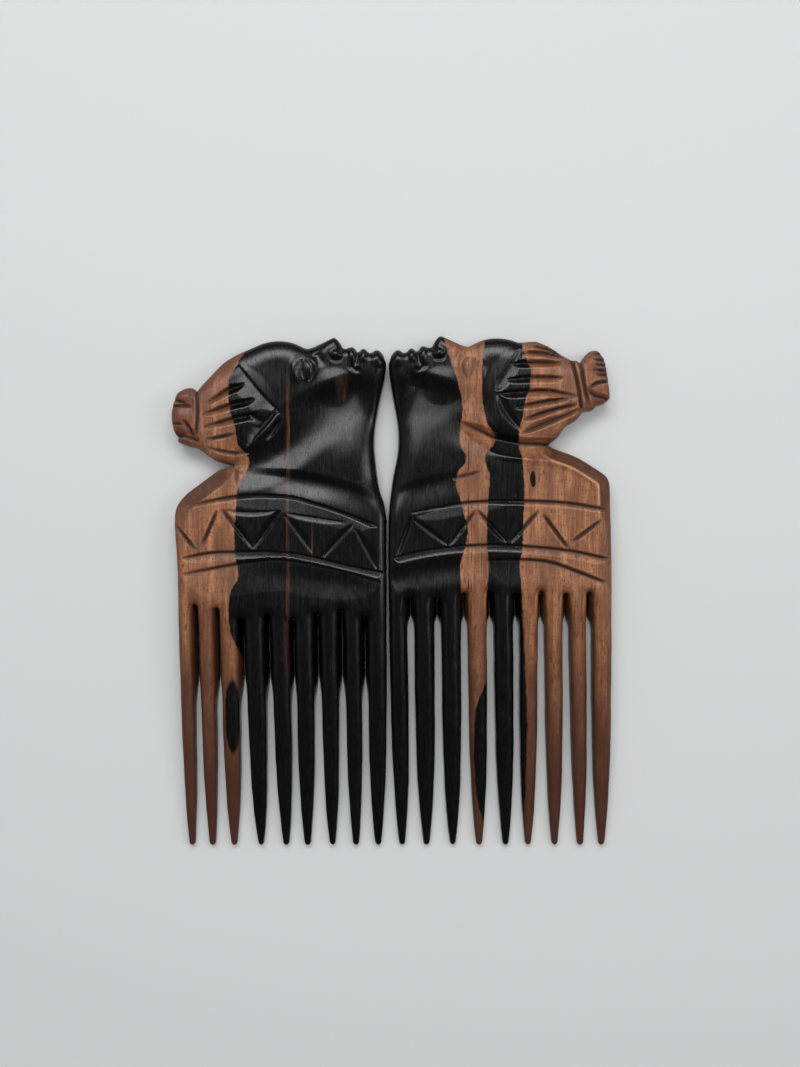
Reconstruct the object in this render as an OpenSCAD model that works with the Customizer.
// A matched pair of carved wooden hair combs, lying flat on their backs and placed chin to chin.
// Each comb is cut from one board. +Z is the front, +Y runs from the tooth tips to the head.
// Every comb is drawn in "outward" millimetres: x = 0 at the edge that faces the other comb,
// y = 0 at the tooth tips. The left comb is then turned over to its own side.

/* [Size] */
// Height of a comb from tooth tips to the top of the head, mm
comb_height = 165; // [130:5:200]
// Thickness of the board at the shoulders, mm
body_t = 9; // [8:0.5:12]
// Space between the two combs where they lie side by side, mm
pair_gap = 0.8; // [0.4:0.2:4]

/* [Teeth] */
// Thickness of a tooth at its tip, mm
tip_t = 2.6; // [2:0.2:4]
// Width of a tooth at its tip, mm
tip_w = 1.8; // [1.4:0.1:2.4]
// Width of the slot between two teeth below its rounded top, mm
slot_w = 2.4; // [1.8:0.1:2.8]

/* [Carving] */
// Width of the two border grooves of the chest band, mm
border_w = 1.6; // [0.8:0.1:2.2]
// Width of a zigzag cut at its middle, mm
zigzag_w = 1.5; // [0.8:0.1:2.2]
// Width of a hair groove at its middle, mm
hair_w = 1.7; // [0.8:0.1:2.2]
// Width of the fine lines of the face, mm
line_w = 1.2; // [0.6:0.1:1.6]

/* [Hidden] */
$fn = 64;

drawn_height = 165;                 // the outlines below are drawn at this height
size_k = comb_height / drawn_height;
comb_w = 75;                        // a little wider than either comb
margin = 10;                        // how far a cutting shape reaches past the board
curve_steps = 4;                    // points per span of a smooth run
heartwood = [0.09, 0.08, 0.08];
sapwood = [0.47, 0.26, 0.14];

// ---- the head in profile: u from the chin towards the crown, v out of the face ----
// Three equal thirds: chin to nose base, nose base to brow, brow to hairline.
face_third = 14;
chin_v = 160.6;                     // how high the front of the chin stands
left_tilt = 0;                      // degrees that each head leans back past the level
right_tilt = 1.6;
face = [
    [0, -4.4], [1.0, -1.5], [2.9, 0], [5.2, -1.1], [7.3, 0.4], [9.1, -0.7], [10.7, 0.9],
    [12.8, 0.4], [face_third, 0.6], [15.0, 2.4], [16.6, 3.9], [18.4, 3.3], [21.6, 1.9],
    [25.4, 0.5], [2 * face_third, 1.5], [31.0, 2.6], [35.0, 3.0], [39.0, 2.4], [3 * face_third, 1.3]
];

// ---- outlines, in outward mm ----
left_throat = [
    [0, 106], [0.8, 111], [2.2, 115.5], [3.2, 122], [3.9, 130], [3.5, 137], [2.2, 144], [0.7, 151]
];
left_crown = [[47.4, 159.6], [52.6, 156.4], [57.7, 150.9], [60.6, 147.3]];
left_knot = [
    [61.2, 146.9], [62.2, 148.1], [64.6, 148.1], [67.4, 146.3], [69.0, 141.5], [68.8, 136.2], [67.5, 132.9]
];
left_knot_tail = [[66.6, 132.3], [66.8, 130.8], [61.0, 129.0]];
left_nape = [[60.2, 128.6], [55.2, 125.1], [51.3, 123.9]];
left_notch = [[48.7, 123.4]];
left_shoulder = [[53.9, 121.8], [59.0, 118.1], [64.2, 114.2], [67.2, 110.6], [68.1, 107.4]];
left_edge = [[68.1, 104], [67.5, 96], [67.1, 88]];

right_throat = [
    [0, 106], [0.5, 112.5], [1.6, 120], [2.8, 126.5], [3.2, 132], [2.7, 138], [1.5, 145], [0.5, 151.5]
];
right_crown = [[47.7, 163.4], [51.8, 161.7], [56.2, 158.8], [59.6, 157.0]];
right_tie = [[60.0, 157.4], [61.6, 156.5]];
right_knot = [
    [61.9, 156.4], [63.2, 158.4], [65.2, 160.2], [67.6, 159.9], [69.6, 156.8], [70.6, 151.5], [71.2, 146.6]
];
right_knot_tail = [[71.3, 144.9], [69.6, 143.5], [66.6, 142.6]];
right_nape = [[66.2, 141.4], [62.8, 140.8], [60.4, 138.0], [56.8, 135.8], [54.6, 132.6]];
right_notch = [[51.6, 130.1]];
right_shoulder = [[54.4, 128.4], [60.2, 126.2], [65.8, 122.9], [70.0, 119.9], [71.2, 117.4]];
right_edge = [[71.4, 113], [71.7, 98], [71.8, 90]];

// ---- teeth, counted from the edge that faces the other comb ----
// Where each slot ends in the board, and where along y = 0 each tooth ends.
left_slots = [
    [7.0, 73.9], [14.5, 76.2], [22.3, 75.2], [30.3, 73.3],
    [38.3, 74.6], [46.6, 73.6], [54.6, 76.8], [61.6, 77.8]
];
left_tips = [2.6, 9.9, 17.5, 25.6, 32.6, 40.8, 49.5, 56.6, 63.2];
right_slots = [
    [7.0, 80.1], [15.8, 79.7], [24.4, 81.7], [32.7, 82.0],
    [41.2, 81.4], [49.3, 82.0], [57.2, 81.4], [64.7, 81.7]
];
right_tips = [4.4, 12.3, 20.9, 29.5, 38.1, 45.4, 54.1, 62.4, 69.3];
tooth_taper = 4.8;                  // how late a tooth starts to narrow
root_flare = 0.35;                  // extra half width where a tooth joins the board
flare_run = 14;                     // how soon that extra width is gone
side_steps = 12;                    // levels along each side of a tooth
arc_steps = 6;                      // straight pieces of a slot's top or a tooth's tip
taper_y = 84;                       // the board starts to thin out below this height
taper_power = 1.5;                  // 1 would be a straight wedge; above 1 it thins late, near the tips
taper_steps = 8;
left_outer_root = [67.1, taper_y];  // where the outermost tooth leaves the board's edge
right_outer_root = [71.9, taper_y];

// ---- curves ----
function spline_at(a, b, c, d, t) =
    0.5 * (2 * b + (c - a) * t + (2 * a - 5 * b + 4 * c - d) * t * t + (3 * b - a - 3 * c + d) * t * t * t);
function smooth(p, n = curve_steps) = [
    for (i = [0:len(p) - 2])
        let (a = p[max(i - 1, 0)], b = p[i], c = p[i + 1], d = p[min(i + 2, len(p) - 1)])
            for (j = [0:n - 1]) spline_at(a, b, c, d, j / n),
    p[len(p) - 1]
];
function on_head(p, tilt) = [for (q = p) [
    q[0] * cos(tilt) - q[1] * sin(tilt),
    chin_v + q[0] * sin(tilt) + q[1] * cos(tilt)
]];

function reversed(p) = [for (i = [len(p) - 1:-1:0]) p[i]];
function arc(x, y, r, from, to, n) = [
    for (i = [1:n - 1]) let (a = from + (to - from) * i / n) [x + r * cos(a), y + r * sin(a)]
];

// One side of a tooth, from its root down to its tip. Levels crowd towards both ends, where it bends most.
function tooth_side(root, tip, mid, hand, root_y, flare) = [
    for (i = [0:side_steps])
        let (t = (1 - cos(180 * i / side_steps)) / 2, narrow = pow(t, tooth_taper)) [
            root + (tip - root) * t
                + hand * (mid + (tip_w / 2 - mid) * narrow + flare * pow(1 - t, flare_run)),
            root_y + (tip_w / 2 - root_y) * t
        ]
];

// A tooth from its outer side round to its inner side, then the rounded top of the slot on its inner side.
function tooth(i, slots, tips, edge) =
    let (
        inner = i == 0 ? [0, taper_y] : slots[i - 1] + [slot_w / 2, 0],
        outer = i == len(slots) ? edge : slots[i] - [slot_w / 2, 0],
        root = (inner[0] + outer[0]) / 2,
        mid = (outer[0] - inner[0]) / 2,
        outer_flare = i == len(slots) ? 0 : root_flare,
        inner_flare = i == 0 ? 0 : root_flare
    ) [
        each tooth_side(root, tips[i], mid, 1, outer[1], outer_flare),
        each arc(tips[i], tip_w / 2, tip_w / 2, 0, -180, arc_steps),
        each reversed(tooth_side(root, tips[i], mid, -1, inner[1], inner_flare)),
        if (i > 0) each arc(slots[i - 1][0], slots[i - 1][1], slot_w / 2 - root_flare, 0, 180, arc_steps)
    ];
function teeth(slots, tips, edge) = [
    for (i = [len(slots):-1:0]) each tooth(i, slots, tips, edge)
];

function left_outline() = [
    each smooth(concat(left_throat, [on_head(face, left_tilt)[0]])),
    each smooth([for (i = [1:len(face) - 1]) on_head(face, left_tilt)[i]], 3),
    each smooth(left_crown), each smooth(left_knot), each smooth(left_knot_tail, 2),
    each smooth(left_nape), each left_notch, each smooth(left_shoulder), each left_edge,
    each teeth(left_slots, left_tips, left_outer_root)
];
function right_outline() = [
    each smooth(concat(right_throat, [on_head(face, right_tilt)[0]])),
    each smooth([for (i = [1:len(face) - 1]) on_head(face, right_tilt)[i]], 3),
    each smooth(right_crown), each right_tie, each smooth(right_knot), each smooth(right_knot_tail, 2),
    each smooth(right_nape), each right_notch, each smooth(right_shoulder), each right_edge,
    each teeth(right_slots, right_tips, right_outer_root)
];

// ---- placing: the pair is centred on the origin, back faces on z = 0 ----
function column(p, k) = [for (q = p) q[k]];
left_reach = max(column(left_outline(), 0)) * size_k + pair_gap / 2;
right_reach = max(column(right_outline(), 0)) * size_k + pair_gap / 2;
top_y = max(max(column(left_outline(), 1)), max(column(right_outline(), 1))) * size_k;
middle_x = (left_reach - right_reach) / 2;

module place(hand) {
    translate([middle_x + hand * pair_gap / 2, -top_y / 2, 0])
        scale(size_k)
            if (hand < 0) mirror([1, 0, 0]) children();
            else children();
}

// ---- solids ----
// The board seen from its edge: full thickness down to the slots, then tapering to the tips.
module edge_profile() {
    full_t = body_t / size_k;
    thin_t = tip_t / size_k;
    taper = [for (i = [0:taper_steps]) let (t = i / taper_steps) [
        taper_y * t,
        thin_t + (full_t - thin_t) * (1 - pow(1 - t, taper_power))
    ]];
    past_head = drawn_height + margin;
    multmatrix([[0, 0, 1, -margin], [1, 0, 0, 0], [0, 1, 0, 0]])
        linear_extrude(height = comb_w + 2 * margin)
            polygon([[past_head, 0], [-margin, 0], [-margin, thin_t], each taper, [past_head, full_t]]);
}

module blank(outline) {
    intersection() {
        linear_extrude(height = 2 * body_t / size_k) polygon(outline);
        edge_profile();
    }
}

// A gouge cut between two points of the front face: widest and deepest at its middle, pointed at both ends.
module gouge(from, to, width) {
    run = norm(to - from);
    spindle = [for (t = [-1, -0.6, 0, 0.6, 1]) [(1 - t * t) * width / 2, t * run / 2]];
    translate([(from[0] + to[0]) / 2, (from[1] + to[1]) / 2, body_t / size_k])
        rotate([0, 0, atan2(to[1] - from[1], to[0] - from[0])])
            rotate([0, 90, 0])
                rotate_extrude()
                    polygon(spindle);
}

// A V groove that follows the arc through three points of the front face.
module arc_groove(a, b, c, width) {
    d = 2 * (a[0] * (b[1] - c[1]) + b[0] * (c[1] - a[1]) + c[0] * (a[1] - b[1]));
    cx = ((a * a) * (b[1] - c[1]) + (b * b) * (c[1] - a[1]) + (c * c) * (a[1] - b[1])) / d;
    cy = ((a * a) * (c[0] - b[0]) + (b * b) * (a[0] - c[0]) + (c * c) * (b[0] - a[0])) / d;
    r = norm(a - [cx, cy]);
    start = atan2(c[1] - cy, c[0] - cx);
    sweep = atan2(a[1] - cy, a[0] - cx) - start;
    translate([cx, cy, body_t / size_k])
        rotate([0, 0, start])
            rotate_extrude(angle = sweep)
                polygon([[r - width / 2, 0], [r, -width / 2], [r + width / 2, 0], [r, width / 2]]);
}

// ---- carving, in outward mm: arcs by three points, gouges by two ----
left_borders = [
    [[2.7, 103.8], [30.6, 113.1], [63.6, 110.5]],
    [[3.7, 111.6], [30.6, 119.2], [42.5, 119.9]],
    [[1.4, 88.8], [32.8, 95.2], [65.5, 93.2]],
    [[1.8, 86.2], [32.8, 92.4], [65.5, 88.6]]
];
left_zigzag = [
    [[9.6, 103.6], [4.2, 90.8]], [[10.8, 104.0], [20.2, 94.0]], [[32.4, 107.6], [23.8, 95.6]],
    [[34.2, 108.4], [42.2, 96.8]], [[52.8, 109.0], [43.2, 96.8]], [[54.4, 108.8], [59.2, 97.0]],
    [[66.4, 103.8], [60.8, 96.2]]
];
left_hair = [
    [[36.7, 141.6], [46.4, 154.4]], [[45.2, 149.6], [56.8, 143.6]], [[41.9, 144.2], [58.4, 139.2]],
    [[37.4, 141.2], [57.8, 135.8]], [[47.4, 133.6], [57.2, 131.4]], [[44.6, 129.4], [56.8, 128.2]],
    [[35.1, 141.4], [44.8, 129.9]], [[34.5, 137.6], [38.7, 132.8]], [[61.2, 147.4], [60.8, 133.4]]
];
right_borders = [
    [[70.0, 109.2], [43.8, 111.8], [7.3, 108.2]],
    [[69.4, 107.2], [36.5, 109.6], [9.9, 106.2]],
    [[70.7, 93.4], [27.7, 97.6], [1.8, 93.4]],
    [[69.1, 86.2], [57.7, 90.6], [43.8, 93.0]],
    [[68.4, 116.3], [50.3, 125.0], [32.2, 126.3]],
    [[24.1, 119.9], [17.3, 118.2], [4.7, 115.3]]
];
right_zigzag = [
    [[7.0, 106.4], [2.4, 93.8]], [[8.2, 105.6], [18.9, 97.6]], [[28.0, 108.6], [19.7, 97.6]],
    [[28.7, 108.8], [37.6, 98.8]], [[48.0, 108.4], [39.0, 98.6]], [[49.4, 107.8], [57.8, 96.4]],
    [[68.2, 105.6], [58.2, 98.4]]
];
right_hair = [
    [[38.6, 155.4], [54.8, 155.8]], [[37.8, 150.0], [55.2, 151.4]], [[34.8, 146.4], [61.0, 145.6]],
    [[40.9, 141.6], [57.8, 144.8]], [[44.2, 138.0], [60.0, 142.8]], [[43.6, 133.6], [61.2, 140.8]],
    [[43.6, 130.2], [55.8, 134.8]], [[42.9, 161.0], [56.4, 159.0]], [[58.4, 156.6], [61.6, 142.0]],
    [[60.6, 157.0], [63.6, 142.2]]
];
// Closed eye, brow, mouth and nostril, in the head's own u and v.
face_lines = [
    [[24.4, -3.4], [25.6, -10.6]], [[28.6, -2.6], [29.6, -12.6]],
    [[9.1, 0.6], [10.2, -6.4]], [[14.8, -1.2], [17.8, -3.6]]
];

module carve(borders, zigzag, hair, tilt) {
    for (b = borders) arc_groove(b[0], b[1], b[2], border_w);
    for (g = zigzag) gouge(g[0], g[1], zigzag_w);
    for (g = hair) gouge(g[0], g[1], hair_w);
    for (g = face_lines) gouge(on_head(g, tilt)[0], on_head(g, tilt)[1], line_w);
}

module left_comb() {
    color(sapwood)
        place(-1)
            difference() {
                blank(left_outline());
                carve(left_borders, left_zigzag, left_hair, left_tilt);
            }
}

module right_comb() {
    color(heartwood)
        place(1)
            difference() {
                blank(right_outline());
                carve(right_borders, right_zigzag, right_hair, right_tilt);
            }
}

left_comb();
right_comb();
